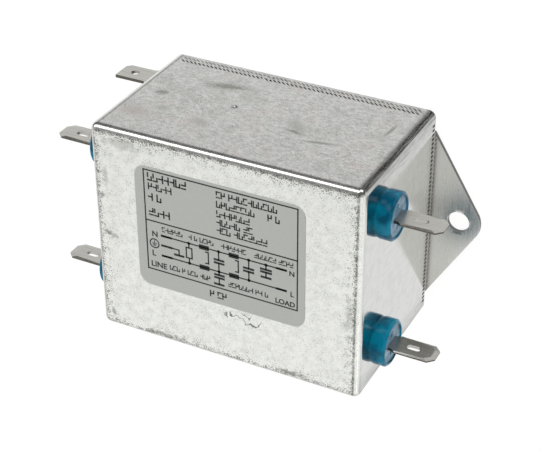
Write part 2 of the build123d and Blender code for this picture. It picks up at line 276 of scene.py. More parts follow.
def makeTinPlate(name, pocketShade):
    material, tree, shader, place = startMaterial(name)
    add = partial(addNode, tree)
    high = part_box("case")[1]
    radius = tinPlate["edgeRadius"] * mm
    x, y, z = add("SeparateXYZ", [place], None)
    acrossX = add("Math", [x], operation="ABSOLUTE")
    acrossY = add("Math", [y], operation="ABSOLUTE")
    # each wall's finish begins within its round
    begin, full = 0.3 * radius, 0.05 * radius
    endWall = add("MapRange", [acrossX, high.x - begin, high.x - full], **softStep)
    sideWall = add("MapRange", [acrossY, high.y - begin, high.y - full], **softStep)
    besideLine = add("MapRange", [x, 0.7 * radius - high.x, radius - high.x], **softStep)
    sideWall = add("Math", [sideWall, besideLine], operation="MULTIPLY")
    topFace = add("MapRange", [z, high.z - begin, high.z - full], **softStep)
    grain = add("TexNoise", {"Vector": place, "Scale": 1 / (tinPlate["grainSize"] * mm), "Detail": 2.0})
    frost = add("TexNoise", {
        "Vector": place, "Scale": 1 / (tinPlate["frostSize"] * mm), "Detail": 6.0, "Roughness": 0.7,
    })
    stretched = add("Mapping", {
        "Vector": place, "Rotation": (0, 0.3, 0),
        "Scale": [1 / (size * mm) for size in tinPlate["smearSizes"]],
    })
    smear = add("TexNoise", {"Vector": stretched, "Scale": 1.0, "Detail": 6.0, "Roughness": 0.65, "Distortion": 0.6})
    streaks = addStreaks(add, place, tinPlate["streakSizes"])

    # broad face: pale frost with fine grit, dark specks towards its border
    frostShare = add("MapRange", [frost, 0.35, 0.65], **softStep)
    colour = add("Mix", {0: frostShare, 6: tinPlate["frost"], 7: tinPlate["bright"]}, **colourMix)
    for mark in faceMarks:
        colour = addMark(add, colour, place, "face", frost, mark)
    clumps = add("MapRange", [frost, 0.65, 0.35, -0.05, 0.05])
    clumped = add("Math", [grain, clumps], operation="ADD")
    grit = add("MapRange", [clumped, 0.5, 0.74, 0.0, tinPlate["gritShare"]], **softStep)
    colour = add("Mix", {0: grit, 6: colour, 7: tinPlate["grit"]}, **colourMix)
    nearX = add("Math", [high.x, acrossX], operation="SUBTRACT")
    nearY = add("Math", [high.y, acrossY], operation="SUBTRACT")
    border = add("Math", [nearX, nearY], operation="MINIMUM")
    worn = add("MapRange", [border, radius, tinPlate["wornBorder"] * mm, 0.075, -0.07], **softStep)
    rim = add("MapRange", [border, 0.9 * radius, 1.5 * radius, 0.09, 0.0], **softStep)
    worn = add("Math", [worn, rim], operation="ADD")
    patchy = add("MapRange", [frost, 0.7, 0.3, -0.08, 0.08])
    level = add("Math", [add("Math", [grain, worn], operation="ADD"), patchy], operation="ADD")
    specks = add("MapRange", [level, 0.64, 0.74, 0.0, tinPlate["speckShare"]], **softStep)
    flat = add("MapRange", [z, high.z - 0.12 * radius, high.z - 0.01 * radius], **softStep)
    specks = add("Math", [specks, flat], operation="MULTIPLY")
    colour = add("Mix", {0: specks, 6: colour, 7: tinPlate["speck"]}, **colourMix)

    # broken painted dark reflection line along the LOAD end
    patches = add("Math", [topFace, add("MapRange", [frost, 0.62, 0.42, 0.25, 1.0])], operation="MULTIPLY")
    colour = addPaintedReflectionLine(add, colour, x, high.x - 0.8 * radius, patches, tinPlate["faceReflectionLine"])

    # one curly hairline scratch below the label
    hairNoise = add("TexNoise", {"Vector": place, "Scale": 1 / (tinPlate["hairSize"] * mm), "Detail": 3.0})
    offLine = add("Math", [add("Math", [hairNoise, 0.5], operation="SUBTRACT")], operation="ABSOLUTE")
    line = add("MapRange", [offLine, 0.003, 0.014, tinPlate["hairShare"], 0.0], **softStep)
    oval = add("Mapping", {
        "Vector": place, "Location": (hairMark[0] * mm, hairMark[1] * mm, high.z),
        "Scale": (hairMark[2] * mm, hairMark[3] * mm, wornSpot["depth"] * mm),
    }, vector_type="TEXTURE")
    inside = add("MapRange", [add("VectorMath", [oval], "Value", operation="LENGTH"), 1.0, 0.8], **softStep)
    hair = add("Math", [line, inside], operation="MULTIPLY")
    colour = add("Mix", {0: hair, 6: colour, 7: tinPlate["hair"]}, **colourMix)

    # long sides: smeared and scuffed, their darker tone partly painted shade, with a thin painted dark reflection line
    # along the LINE end
    dullShare = add("MapRange", [smear, 0.32, 0.68])
    sideColourAndShade = add("Mix", {0: dullShare, 6: tinPlate["sideLight"], 7: tinPlate["sideDark"]}, **colourMix)
    tint = add("TexNoise", {
        "Vector": place, "Scale": 1 / (tinPlate["tintSize"] * mm), "Detail": 4.0, "Roughness": 0.6,
    })
    warmth = add("MapRange", [tint, 0.52, 0.7, 0.0, tinPlate["warmShare"]], **softStep)
    sideColourAndShade = add("Mix", {0: warmth, 6: sideColourAndShade, 7: tinPlate["warm"]}, **colourMix)
    smudge = add("MapRange", [tint, 0.5, 0.34, 0.0, tinPlate["smudgeShare"]], **softStep)
    sideColourAndShade = add("Mix", {0: smudge, 6: sideColourAndShade, 7: tinPlate["smudge"]}, **colourMix)
    rough = add("Math", [grain, add("MapRange", [smear, 0.3, 0.7, -0.08, 0.08])], operation="ADD")
    sideGrit = add("MapRange", [rough, 0.52, 0.7, 0.0, tinPlate["sideGritShare"]], **softStep)
    sideColourAndShade = add("Mix", {0: sideGrit, 6: sideColourAndShade, 7: tinPlate["sideGrit"]}, **colourMix)
    for mark in sideMarks:
        sideColourAndShade = addMark(add, sideColourAndShade, place, "side", smear, mark)
    colour = add("Mix", {0: sideWall, 6: colour, 7: sideColourAndShade}, **colourMix)
    colour = addPaintedReflectionLine(add, colour, x, 1.1 * radius - high.x, sideWall, tinPlate["sideReflectionLine"])

    # ends: bright, a little cloudy, with faint drawn streaks and dimmer towards the long sides
    besideRound = add("MapRange", [nearY, 3.0 * radius, radius, 0.12, 0.8], **softStep)
    endShare = add("Math", [add("MapRange", [streaks, 0.42, 0.66], **softStep), besideRound], operation="MULTIPLY")
    cloudy = add("MapRange", [frost, 0.4, 0.65, 0.0, tinPlate["endCloud"]], **softStep)
    endShare = add("Math", [endShare, cloudy], operation="ADD")
    dim = add("MapRange", [nearY, 4.5 * radius, radius, 0.0, tinPlate["endDim"]], **softStep)
    endShare = add("Math", [endShare, dim], operation="ADD")
    ends = add("Mix", {0: endShare, 6: tinPlate["end"], 7: tinPlate["endStreak"]}, **colourMix)
    colour = add("Mix", {0: endWall, 6: colour, 7: ends}, **colourMix)

    # painted dark reflection, streaked, down the upright edges: on the long side's half of the round and most of all at
    # the LOAD end
    drawn = add("MapRange", [acrossX, high.x - 1.5 * radius, high.x - 0.55 * radius], **softStep)
    for share in (
        add("MapRange", [acrossY, high.y - 0.55 * radius, high.y - 0.4 * radius], **softStep),
        add("MapRange", [streaks, 0.72, 0.45, 0.6, 1.0], **softStep),
        add("MapRange", [x, -0.01, 0.01, tinPlate["lineEdgeReflection"], 1.0]),
        add("MapRange", [grain, 0.45, 0.65, 1.0, 0.75], **softStep),
        add("MapRange", [z, high.z - 0.2 * radius, high.z - radius], **softStep),
    ):
        drawn = add("Math", [drawn, share], operation="MULTIPLY")
    colour = add("Mix", {0: drawn, 6: colour, 7: tinPlate["drawn"]}, **colourMix)
    # painted shade in the seam's pockets, weaker on the long sides
    if pocketShade:
        pocketShadeAmount = add("MapRange", [sideWall, 0.0, 1.0, pocketShade, tinPlate["sidePocketShade"] * pocketShade])
        colour = add("Mix", {0: pocketShadeAmount, 6: colour, 7: tinPlate["pocketShade"]}, **colourMix)
    flatness = add("Math", [topFace, sideWall], operation="MAXIMUM")
    dullness = add("MapRange", [flatness, 0.0, 1.0, tinPlate["roundRoughness"], tinPlate["wallRoughness"]])
    dullness = add("Mix", {0: endWall, 2: dullness, 3: tinPlate["endRoughness"]})
    bump = add("Bump", {"Height": grain, "Strength": tinPlate["bump"], "Distance": bumpHeight})
    fillInputs(tree, shader, {"Base Color": colour, "Roughness": dullness, "Normal": bump, "Metallic": 1.0})
    return material


# zinc-plated mounting sheet: greyer than the can and fairly bright, with faint rolling streaks across the ears
platedSheet = {
    "light": "#E2E1DD", "dark": "#CAC9C5", "grimeAndShade": "#A49F99", "streakSizes": (0.3, 14.0, 2.0), "grimeAndShadeReach": 1.8,
    "grimeAndShadeShare": 0.6, "smooth": 0.22, "rough": 0.32, "bump": 0.05,
}


def makePlatedSheet():
    material, tree, shader, place = startMaterial("zinc_plated_steel")
    add = partial(addNode, tree)
    streaks = addStreaks(add, place, platedSheet["streakSizes"])
    colour = add("Mix", {0: streaks, 6: platedSheet["dark"], 7: platedSheet["light"]}, **colourMix)
    # grime and painted shade in the corner at the foot of the can
    across = add("Math", [add("SeparateXYZ", [place], None)[0]], operation="ABSOLUTE")
    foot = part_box("case")[1].x
    reach = foot + platedSheet["grimeAndShadeReach"] * mm
    grimeAndShade = add("MapRange", [across, reach, foot, 0.0, platedSheet["grimeAndShadeShare"]], **softStep)
    colour = add("Mix", {0: grimeAndShade, 6: colour, 7: platedSheet["grimeAndShade"]}, **colourMix)
    dullness = add("MapRange", [streaks, 0.2, 0.8, platedSheet["smooth"], platedSheet["rough"]])
    bump = add("Bump", {"Height": streaks, "Strength": platedSheet["bump"], "Distance": bumpHeight})
    fillInputs(tree, shader, {"Base Color": colour, "Roughness": dullness, "Normal": bump, "Metallic": 1.0})
    return material


# dull tin on stamped brass: grey with rolling streaks along the blade
tinnedBrass = {"light": "#D2D1CB", "dark": "#96948E", "streakSizes": (6.0, 0.3, 0.3)}
# sheared edges: rough and darker, where the cut left little plating
shearedBrass = {"light": "#77716A", "dark": "#4C4741", "streakSizes": (1.2, 0.3, 0.3)}
shearedSheet = {"light": "#7C7C7A", "dark": "#4E4E4C", "streakSizes": (1.2, 0.3, 0.3)}
stampedFinish = {"Roughness": 0.34, "Metallic": 1.0}
stampedBump = 0.12


def makeStampedStrip(name, strip):
    material, tree, shader, place = startMaterial(name)
    add = partial(addNode, tree)
    streaks = addStreaks(add, place, strip["streakSizes"])
    colour = add("Mix", {0: streaks, 6: strip["dark"], 7: strip["light"]}, **colourMix)
    bump = add("Bump", {"Height": streaks, "Strength": stampedBump, "Distance": bumpHeight})
    fillInputs(tree, shader, {"Base Color": colour, "Normal": bump, **stampedFinish})
    return material


# moulded nylon, dyed blue: light goes a little way in, so edges look paler than the body; the sunk face is chalky
blueNylon = {"deep": "#005D7C", "pale": "#008FB0", "cloudSize": 4.0}
chalkyNylon = {"deep": "#5389A6", "pale": "#8FB0CA", "cloudSize": 1.6}
nylonFinish = {
    "Roughness": 0.2, "IOR": 1.53, "Specular IOR Level": 0.15, "Subsurface Weight": 0.25,
    "Subsurface Radius": (0.1, 0.8, 1.0), "Subsurface Scale": 0.6 * mm,
}


def makeNylon(name, dye):
    material, tree, shader, place = startMaterial(name)
    add = partial(addNode, tree)
    cloud = add("TexNoise", {"Vector": place, "Scale": 1 / (dye["cloudSize"] * mm), "Detail": 3.0})
    share = add("MapRange", [cloud, 0.38, 0.62], **softStep)
    colour = add("Mix", {0: share, 6: dye["deep"], 7: dye["pale"]}, **colourMix)
    fillInputs(tree, shader, {"Base Color": colour, **nylonFinish})
    return material


# matt polyester film with a faint grain
labelFilm = {"light": "#D0D2CC", "dark": "#C8CAC5", "grainSize": 0.6, "roughness": 0.5, "metallic": 0.0}
# printed ink: near-black, slightly uneven
printedInk = {"light": "#2C2D2C", "dark": "#151615", "grainSize": 0.4, "roughness": 0.55, "metallic": 0.0}


def makeGrained(name, stock):
    material, tree, shader, place = startMaterial(name)
    add = partial(addNode, tree)
    grain = add("TexNoise", {"Vector": place, "Scale": 1 / (stock["grainSize"] * mm), "Detail": 3.0})
    colour = add("Mix", {0: grain, 6: stock["dark"], 7: stock["light"]}, **colourMix)
    fillInputs(tree, shader, {"Base Color": colour, "Roughness": stock["roughness"], "Metallic": stock["metallic"]})
    return material


tin = makeTinPlate("tin_plated_steel", 0.0)
pocketShadeTin = makeTinPlate("pocket_shade_tin_plate", tinPlate["pocketShadeShare"])
plated = makePlatedSheet()
brass = makeStampedStrip("tinned_brass", tinnedBrass)
brassEdge = makeStampedStrip("sheared_brass_edge", shearedBrass)
sheetEdge = makeStampedStrip("sheared_steel_edge", shearedSheet)
nylon = makeNylon("blue_nylon", blueNylon)
chalky = makeNylon("chalky_blue_nylon", chalkyNylon)
film = makeGrained("matt_label_film", labelFilm)
ink = makeGrained("black_ink", printedInk)
print("materials made")


# can: drawn steel box, open at the rim, with a seam of pressed pockets
can = {
    "edgeRadius": 1.8, "edgeSegments": 8, "sheet": 0.6,
    "sideSeam": {"rows": [(0.95, 2.05), (2.45, 3.45)], "slant": 1.1, "width": 0.62},
    "endSeam": {"rows": [(0.35, 1.75)], "slant": 0.0, "width": 0.62},
    "pocketPitch": 1.15, "pocketDepth": 0.25, "pocketSlope": 0.09, "cornerGap": 2.4, "bushHole": 4.3, "bushCell": 6.5,
    "punch": (-8.1, 19.9), "punchRadius": 0.65, "punchCell": 1.0, "punchDepth": 0.2, "punchTaper": 0.4,
}


# each terminal's name, its end's direction along X and its middle on the can's wall
def terminals():
    for endName, end in (("line", -1), ("load", 1)):
        for rowName in ("neutral", "phase"):
            name = f"{endName}_{rowName}"
            low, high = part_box(f"{name}_bush")
            middle = (low + high) / 2
            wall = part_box("case")[1].x * end
            yield name, end, Vector((wall, middle.y, middle.z))


def buildCan():
    low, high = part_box("case")
    sheet = can["sheet"] * mm
    bm = bmesh.new()
    addBox(bm, low, high)
    rounded = [e for e in bm.edges if max(v.co.z for v in e.verts) > low.z + mm]
    softenEdges(bm, rounded, can["edgeRadius"] * mm, can["edgeSegments"])
    bmesh.ops.delete(bm, geom=facesOn(bm, Vector((0, 0, -1)), -low.z), context="FACES")
    bmesh.ops.recalc_face_normals(bm, faces=bm.faces)
    bmesh.ops.solidify(bm, geom=bm.faces[:], thickness=sheet)
    bm.normal_update()
    cell = [can["bushCell"] * mm] * 2
    for _, end, root in terminals():
        drillHole(bm, (end, 0, 0), root, sheet, cell, can["bushHole"] * mm, (0, 1, 0))
    spot = Vector((can["punch"][0] * mm, high.y, can["punch"][1] * mm))
    cell = [can["punchCell"] * mm] * 2
    rim = openHole(bm, (0, 1, 0), spot, cell, can["punchRadius"] * mm, (1, 0, 0))
    sunk = bmesh.ops.extrude_edge_only(bm, edges=rim)["geom"]
    for v in pick(BMVert, sunk):
        v.co += can["punchTaper"] * (spot - v.co) - Vector((0, can["punchDepth"] * mm, 0))
    bmesh.ops.contextual_create(bm, geom=pick(BMEdge, sunk))
    bm.normal_update()

    # seam: rows of pockets; the last row of each wall gets painted shade and is darker
    pitch = can["pocketPitch"] * mm
    for side, lengthwise in ((1, False), (-1, False), (1, True), (-1, True)):
        normal = Vector((0, side, 0)) if lengthwise else Vector((side, 0, 0))
        along = Vector((side, 0, 0)) if lengthwise else Vector((0, 1, 0))
        reach = high.x if lengthwise else high.y
        seam = can["sideSeam"] if lengthwise else can["endSeam"]
        half = seam["width"] * mm / 2
        level = abs(high.dot(normal))
        count = int((2 * reach - 2 * can["cornerGap"] * mm) / pitch)
        for start, stop in seam["rows"]:
            bottom, top = low.z + start * mm, low.z + stop * mm
            for height in (bottom, top):
                cutFaces(bm, facesOn(bm, normal, level), Vector((0, 0, height)), Vector((0, 0, 1)))
            band = [f for f in facesOn(bm, normal, level) if bottom < f.calc_center_median().z < top]
            for i in range(count):
                for edge in (-half, half):
                    middle = Vector((0, 0, (bottom + top) / 2)) + ((i - (count - 1) / 2) * pitch + edge) * along
                    band = cutFaces(bm, band, middle, along - Vector((0, 0, seam["slant"])))
            pockets = []
            for f in band:
                spot = f.calc_center_median().dot(along)
                offset = (spot / pitch + (count - 1) / 2) % 1
                if min(offset, 1 - offset) * pitch < half and abs(spot) < count * pitch / 2:
                    pockets.append(f)
            slopes = bmesh.ops.inset_individual(
                bm, faces=pockets, thickness=can["pocketSlope"] * mm, depth=-can["pocketDepth"] * mm,
                use_even_offset=True,
            )["faces"]
            for f in slopes + pockets:
                f.material_index = int((start, stop) == seam["rows"][-1])
    finishPiece(bm, "can", [tin, pocketShadeTin], ["case"])


buildCan()
print("can built")


# mounting plate: flat sheet with a rounded ear and a hole at each end
plate = {
    "tipRadius": 5.5, "tipSegments": 16, "holeRadius": 2.65, "holeCell": 3.6, "holeCuts": 11, "edge": 0.12,
    "sharpAngle": 60,
}


def buildPlate():
    low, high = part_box("mounting_plate")
    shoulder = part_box("case")[1].x
    radius = plate["tipRadius"] * mm
    hole = high.x - radius
    toHole = Vector((hole - shoulder, -high.y))
    slope = math.atan2(high.y, hole - shoulder) - math.asin(radius / toHole.length)
    tip = shoulder + high.y / math.tan(slope)
    bm = bmesh.new()
    outline = [
        (tip, 0), (shoulder, high.y), (-shoulder, high.y), (-tip, 0), (-shoulder, low.y), (shoulder, low.y),
    ]
    face = bm.faces.new([bm.verts.new((x, y, low.z)) for x, y in outline])
    grown = bmesh.ops.extrude_face_region(bm, geom=[face])["geom"]
    bmesh.ops.translate(bm, vec=(0, 0, high.z - low.z), verts=pick(BMVert, grown))
    bmesh.ops.recalc_face_normals(bm, faces=bm.faces)
    tips = [e for e in bm.edges if all(abs(v.co.x) > shoulder + mm for v in e.verts)]
    softenEdges(bm, tips, radius / math.tan(slope), plate["tipSegments"])
    cell = [plate["holeCell"] * mm] * 2
    for side in (-1, 1):
        drillHole(bm, (0, 0, 1), Vector((side * hole, 0, high.z)), high.z - low.z, cell, plate["holeRadius"] * mm,
                  (1, 0, 0), cuts=plate["holeCuts"])
    bmesh.ops.recalc_face_normals(bm, faces=bm.faces)
    flat = [e for e in sharpEdges(bm, plate["sharpAngle"]) if span(e, 2) < tiny]
    softenEdges(bm, flat, plate["edge"] * mm)
    bm.normal_update()
    for f in bm.faces:
        f.material_index = int(abs(f.normal.z) < 0.9)
    finishPiece(bm, "ear_plate", [plated, sheetEdge], ["mounting_plate"])


buildPlate()
print("plate built")


# bushes: turned flange with a lip round a sunk face, a neck through the wall and a slot for the tab
bush = {
    "radius": 5.75, "reach": 3.9, "rim": 0.55, "footStep": 0.25, "footLength": 0.9, "lip": 0.45, "sunk": 0.35,
    "neck": 4.2, "collar": 4.8, "collarEnd": 1.8, "slotHole": 2.9, "slotWidth": 0.9, "slotHeight": 5.1, "steps": 64,
    "rounding": 0.25, "roundingSegments": 3, "studRadius": 0.75, "studTaper": 0.8, "studHeight": 0.4,
    "studOffset": 2.6, "studSegments": 20, "sharpAngle": 30,
}


def buildBush(name, end, root):
    face = bush["radius"] - bush["rim"]
    floor = bush["reach"] - bush["sunk"]
    wall = can["sheet"]
    profile = [
        (bush["slotHole"], floor), (face - bush["lip"], floor), (face - bush["lip"], bush["reach"]),
        (face, bush["reach"]), (bush["radius"], bush["reach"] - bush["rim"]),
        (bush["radius"], bush["footLength"]), (bush["radius"] - bush["footStep"], 0),
        (bush["neck"], 0), (bush["neck"], -wall), (bush["collar"], -wall), (bush["collar"], -bush["collarEnd"]),
        (bush["slotHole"], -bush["collarEnd"]),
    ]
    bm = bmesh.new()
    verts = [bm.verts.new(root + mm * Vector((end * out, radius, 0))) for radius, out in profile]
    edges = [bm.edges.new(pair) for pair in zip(verts, verts[1:])]
    bmesh.ops.spin(bm, geom=verts + edges, cent=root, axis=(1, 0, 0), angle=2 * math.pi, steps=bush["steps"],
                   use_merge=True)
    bmesh.ops.remove_doubles(bm, verts=bm.verts, dist=weld)
    slots = []
    for out in (floor, -bush["collarEnd"]):
        middle = root + mm * Vector((end * out, 0, 0))
        ring = [e for e in bm.edges if e.is_boundary and all(abs(v.co.x - middle.x) < tiny for v in e.verts)]
        corners = [
            bm.verts.new(middle + mm / 2 * Vector((0, a * bush["slotWidth"], b * bush["slotHeight"])))
            for a, b in ((-1, -1), (1, -1), (1, 1), (-1, 1))
        ]
        sides = [bm.edges.new((corners[i], corners[(i + 1) % 4])) for i in range(4)]
        split = bmesh.ops.subdivide_edges(bm, edges=sides, cuts=bush["steps"] // 4 - 1)["geom_inner"]
        slot = unique(e for v in pick(BMVert, split) for e in v.link_edges)
        slotVerts = unique(v for e in slot for v in e.verts)
        bridgeFlat(bm, ring, slot, slotVerts, Vector((math.copysign(1, end * out), 0, 0)))
        slots += slot
    bmesh.ops.bridge_loops(bm, edges=slots)
    bmesh.ops.recalc_face_normals(bm, faces=bm.faces)
    outside = root.x + end * (floor + bush["sunk"] / 2) * mm
    rims = [
        e for e in sharpEdges(bm, bush["sharpAngle"])
        if all(end * (v.co.x - outside) > 0 for v in e.verts) and span(e, 0) < tiny
    ]
    softenEdges(bm, rims, bush["rounding"] * mm, bush["roundingSegments"])
    bm.normal_update()
    for f in facesOn(bm, Vector((end, 0, 0)), end * root.x + floor * mm):
        f.material_index = 1
    wide = bush["studRadius"] * mm
    for side in (-1, 1):
        spot = root + mm * Vector((end * floor, side * bush["studOffset"], 0))
        stud = bmesh.ops.create_cone(
            bm, cap_ends=True, segments=bush["studSegments"], radius1=wide, radius2=bush["studTaper"] * wide,
            depth=bush["studHeight"] * mm,
            matrix=Matrix.Translation(spot) @ Matrix.Rotation(end * math.pi / 2, 4, "Y"),
        )["verts"]
        for f in unique(f for v in stud for f in v.link_faces):
            f.material_index = 1
    finishPiece(bm, f"{name}_feedthrough", [nylon, chalky], [f"{name}_bush"])


for terminal in terminals():
    buildBush(*terminal)
print("bushes built")


# push-on tabs: stations of distance out of the wall and half width, then a coined blade and a latch slot
tab = {
    "stations": [(-8.0, 2.5), (4.4, 2.5), (5.2, 3.15), (13.3, 3.15), (14.8, 1.65)], "bladeFrom": 5.2, "sheet": 0.8,
    "coinFrom": 5.25, "coinDepth": 0.2, "coinWidth": 0.6, "tipFrom": 12.8, "tipCoinWidth": 1.1, "slotFromTip": 5.8,
    "slotRadius": 0.85, "slotStretch": 0.85, "slotCell": (2.1, 1.3), "sharpAngle": 60, "smoothAngle": 8,
}


# grows a strip from one station to the next along a direction
def growStrip(bm, face, stations, root, out, half):
    for i, (reach, low, high) in enumerate(stations[1:]):
        grown = bmesh.ops.extrude_face_region(bm, geom=[face])["geom"]
        if i:
            bmesh.ops.delete(bm, geom=[face], context="FACES_ONLY")
        face = pick(BMFace, grown)[0]
        for v in face.verts:
            height = high if v.co.z > root.z else low
            side = math.copysign(half, v.co.y - root.y)
            v.co = root + Vector((out * reach * mm, side, height * mm))
    bmesh.ops.recalc_face_normals(bm, faces=bm.faces)


def startStrip(bm, station, root, out, half):
    reach, low, high = station
    corners = [(-half, low), (half, low), (half, high), (-half, high)]
    return bm.faces.new([bm.verts.new(root + Vector((out * reach * mm, y, z * mm))) for y, z in corners])


# outer edges of a strip, apart from the wall of its hole
holeReach = 2.2


def markSheared(bm, hole):
    bm.normal_update()
    for f in bm.faces:
        away = f.calc_center_median() - hole
        f.material_index = int(abs(f.normal.y) < 0.2 and math.hypot(away.x, away.z) > holeReach * mm)


def buildTab(name, end, root):
    bm = bmesh.new()
    half = tab["sheet"] * mm / 2
    stations = [(reach, -width, width) for reach, width in tab["stations"]]
    growStrip(bm, startStrip(bm, stations[0], root, end, half), stations, root, end, half)
    blade = [
        e for e in sharpEdges(bm, tab["sharpAngle"])
        if all(end * (v.co.x - root.x) > tab["bladeFrom"] * mm - tiny for v in e.verts) and span(e, 1) < tiny
    ]
    softenEdges(bm, blade, tab["coinDepth"] * mm, 1)
    edge = tab["stations"][-2][1]
    for v in bm.verts:
        out = end * (v.co.x - root.x) / mm
        onFlat = abs(abs(v.co.y - root.y) - half) < tiny
        if onFlat and out > tab["coinFrom"]:
            v.co.z = root.z + (v.co.z - root.z) * (edge - tab["coinWidth"]) / (edge - tab["coinDepth"])
            if out > tab["tipFrom"]:
                v.co.x -= end * (tab["tipCoinWidth"] - tab["coinDepth"]) * mm
    bm.normal_update()
    slot = tab["stations"][-1][0] - tab["slotFromTip"]
    centre = root + Vector((end * slot * mm, -half, 0))
    cell = [size * mm for size in tab["slotCell"]]
    drillHole(bm, (0, -1, 0), centre, 2 * half, cell, tab["slotRadius"] * mm, (1, 0, 0), tab["slotStretch"] * mm)
    markSheared(bm, centre)
    finishPiece(bm, f"{name}_blade", [brass, brassEdge], [f"{name}_tab"], tab["smoothAngle"])


for terminal in terminals():
    buildTab(*terminal)
print("tabs built")


# earth tab: strip bent up from a foot on the LINE end, with wider shoulders beside the can and one clipped corner
earth = {
    "sheet": 0.8, "bend": 1.2, "bendSegments": 6, "shoulder": 3.95, "flare": 1.1, "halfWidth": 3.15, "clip": 1.1,
    "flareSteps": 4, "holeFromTip": 3.85, "holeRadius": 1.1, "holeCell": 1.7, "edge": 0.06, "sharpAngle": 50,
    "smoothAngle": 30,
}


def buildEarthTab():
    low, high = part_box("earth_tab")
    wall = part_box("case")[0].x
    half = earth["sheet"] * mm / 2
    root = Vector((wall, high.y - half, (low.z + high.z) / 2))
    wide = (high.z - low.z) / 2 / mm
    reach = (wall - low.x) / mm
    narrow = earth["halfWidth"]
    flare = [
        (earth["shoulder"] + earth["flare"] * (1 - math.cos(a)), wide - (wide - narrow) * math.sin(a))
        for a in (i * math.pi / 2 / earth["flareSteps"] for i in range(earth["flareSteps"] + 1))
    ]
    stations = [(0, -wide, wide)] + [(r, -w, w) for r, w in flare]
    stations += [(reach - earth["clip"], -narrow, narrow), (reach, earth["clip"] - narrow, narrow)]
    bm = bmesh.new()
    growStrip(bm, startStrip(bm, stations[0], root, -1, half), stations, root, -1, half)
    foot = next(
        f for f in facesOn(bm, Vector((0, -1, 0)), half - root.y)
        if f.calc_center_median().x > wall - earth["shoulder"] * mm
    )
    cutFaces(bm, [foot], Vector((wall - earth["sheet"] * mm, 0, 0)), Vector((1, 0, 0)))
    foot = max(facesOn(bm, Vector((0, -1, 0)), half - root.y), key=lambda f: f.calc_center_median().x)
    grown = bmesh.ops.extrude_face_region(bm, geom=[foot])["geom"]
    bmesh.ops.delete(bm, geom=[foot], context="FACES_ONLY")
    for v in pick(BMVert, grown):
        v.co.y = low.y
    bmesh.ops.remove_doubles(bm, verts=bm.verts, dist=tiny)
    bmesh.ops.recalc_face_normals(bm, faces=bm.faces)
    outer = [
        e for e in bm.edges
        if all(abs(v.co.x - wall) < tiny and abs(v.co.y - high.y) < tiny for v in e.verts)
    ]
    softenEdges(bm, outer, earth["bend"] * mm, earth["bendSegments"])
    centre = Vector((wall - (reach - earth["holeFromTip"]) * mm, root.y - half, root.z))
    cell = [earth["holeCell"] * mm] * 2
    drillHole(bm, (0, -1, 0), centre, 2 * half, cell, earth["holeRadius"] * mm, (1, 0, 0))
    softenEdges(bm, sharpEdges(bm, earth["sharpAngle"]), earth["edge"] * mm, 1)
    markSheared(bm, centre)
    finishPiece(bm, "earth_blade", [brass, brassEdge], ["earth_tab"], earth["smoothAngle"])


buildEarthTab()
print("earth tab built")


# label with rounded corners, and its print as thin ink on top
label = {"cornerRadius": 3.0, "cornerSegments": 10, "ink": 0.02}


def buildLabel():
    low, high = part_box("rating_label")
    bm = bmesh.new()
    addBox(bm, low, high - Vector((0, 0, label["ink"] * mm)))
    upright = [e for e in bm.edges if span(e, 2) > tiny]
    softenEdges(bm, upright, label["cornerRadius"] * mm, label["cornerSegments"])
    finishPiece(bm, "label_sheet", [film], ["rating_label"])


buildLabel()
print("label built")


# label print: ruled frame, circuit drawing and rows of small plain marks
ruling = {
    "thin": 0.34, "thick": 0.58, "frame": (-20.3, -7.4, 18.9, 19.65), "divider": 6.15, "dot": 0.42,
    "dotSegments": 16, "coilFrom": 0.65, "coilTo": 1.95, "coilWidth": 1.3, "letterWidth": 0.55, "letterGap": 0.3,
    "wordGap": 2.6, "wordEnds": 0.12, "markStroke": 0.32 / 1.45, "capHeight": 0.7, "boldness": 0.05, "seed": 11,
}
# earth sign: a ring round a stem and three bars, each bar's height and half length
earthSign = {
    "place": (-18.3, 0.0), "radius": 1.2, "ring": 0.3, "ringSteps": 24, "stemHeight": 0.7, "stem": 0.2,
    "bars": [(0.0, 0.6), (-0.35, 0.4), (-0.7, 0.2)], "bar": 0.18,
}
# rows of marks: left, bottom, right end, height
markRows = [
    (-19.2, 17.1, -8.2, 1.75), (-19.1, 14.7, -13.1, 1.5), (-19.2, 11.8, -15.8, 1.7), (-19.2, 7.8, -13.4, 1.7),
    (-1.35, 17.2, 14.4, 1.45), (-1.35, 14.7, 9.2, 1.45), (11.6, 14.7, 14.4, 1.45), (-1.35, 12.2, 7.7, 1.45),
    (-1.35, 9.9, 8.9, 1.45), (-1.35, 7.8, 12.4, 1.45),
    (-16.0, 3.95, -10.6, 1.1), (-8.9, 3.95, -1.9, 1.1), (-0.4, 3.95, 6.7, 1.1), (8.2, 3.95, 18.0, 1.1),
    (-14.3, -6.1, -3.4, 1.1), (1.3, -6.1, 12.2, 1.1), (-3.6, -10.3, 1.4, 1.5),
]
# plain strokes in a letter's cell: left, bottom, right, top
strokes = {
    "leftStem": (0, 0, 0, 1), "rightStem": (1, 0, 1, 1), "leftUpper": (0, 0.5, 0, 1), "rightUpper": (1, 0.5, 1, 1),
    "rightLower": (1, 0, 1, 0.5), "top": (0, 1, 1, 1), "middle": (0, 0.5, 1, 0.5), "bottom": (0, 0, 1, 0),
}
markKinds = [
    ("leftStem", "rightLower", "bottom"), ("middle", "rightUpper", "bottom"), ("top", "bottom", "leftUpper"),
    ("bottom", "rightLower", "leftUpper"), ("rightStem", "middle"), ("leftStem", "rightUpper", "middle"),
]
words = [
    ("N", -18.9, 1.95, 1.5), ("L", -19.1, -3.45, 1.5), ("N", 16.8, 1.6, 1.3), ("L", 17.1, -4.0, 1.3),
    ("LINE", -19.5, -6.5, 1.5), ("LOAD", 13.3, -6.8, 1.3),
]
